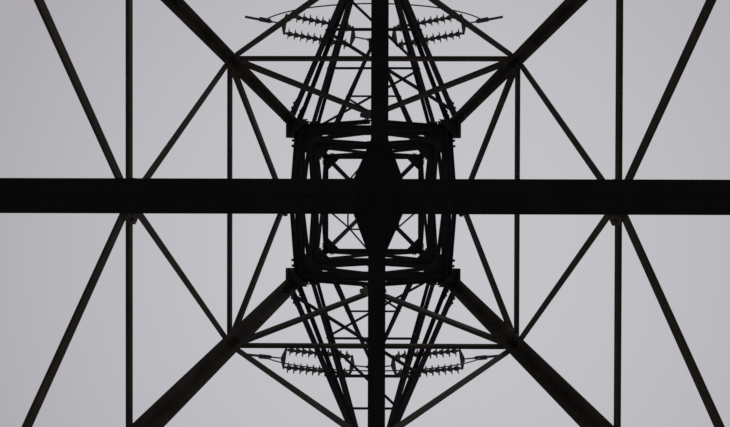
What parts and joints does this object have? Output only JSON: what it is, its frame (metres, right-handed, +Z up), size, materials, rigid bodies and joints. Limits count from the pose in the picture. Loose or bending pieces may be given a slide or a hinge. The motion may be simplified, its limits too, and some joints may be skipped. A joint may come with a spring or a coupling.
{
  "type": "lattice transmission pylon",
  "caption": "Self-supporting steel lattice transmission pylon with a battered lower body, an upright upper body, three tiers of crossarms, tension insulator strings and an earth-wire peak.",
  "frame": {"origin": "centre of the four feet, on their undersides", "axes": "+X along the power line, +Y along the crossarms towards the back, +Z up"},
  "size_m": [7.52, 11.4287, 27.35],
  "materials": {
    "lower_steel": "angle steel under dark weathered paint, brown-grey with specks of rust",
    "upper_steel": "angle steel under dark weathered paint, blue-grey",
    "foot_steel": "plate under dark weathered paint",
    "glass_discs": "toughened glass discs, dark against the sky, with dull iron caps",
    "fittings": "dull weathered galvanised forgings",
    "jumper_strand": "weathered stranded aluminium, dull dark grey"
  },
  "bodies": {
    "root": {"leg_front_left": "lower_steel", "leg_front_right": "lower_steel", "leg_back_left": "lower_steel", "leg_back_right": "lower_steel", "foot_front_left": "foot_steel", "foot_front_right": "foot_steel", "foot_back_left": "foot_steel", "foot_back_right": "foot_steel", "base_bracing_front": "lower_steel", "base_bracing_right": "lower_steel", "base_bracing_back": "lower_steel", "base_bracing_left": "lower_steel", "lower_side_front": "lower_steel", "lower_side_right": "lower_steel", "lower_side_back": "lower_steel", "lower_side_left": "lower_steel", "plan_beam": "lower_steel", "plan_bars": "lower_steel", "centre_plates": "lower_steel", "post_front_left": "upper_steel", "post_front_right": "upper_steel", "post_back_left": "upper_steel", "post_back_right": "upper_steel", "upper_side_front": "upper_steel", "upper_side_right": "upper_steel", "upper_side_back": "upper_steel", "upper_side_left": "upper_steel", "corner_plates": "upper_steel", "lower_arm_front": "upper_steel", "lower_arm_back": "upper_steel", "middle_arm_front": "upper_steel", "middle_arm_back": "upper_steel", "upper_arm_front": "upper_steel", "upper_arm_back": "upper_steel", "peak_legs": "upper_steel", "peak_belt": "upper_steel", "peak_head": "upper_steel", "lower_strings": "glass_discs", "middle_strings": "glass_discs", "upper_strings": "glass_discs", "lower_fittings": "fittings", "middle_fittings": "fittings", "upper_fittings": "fittings", "jumper_loops": "jumper_strand"}
  },
  "joints": []
}
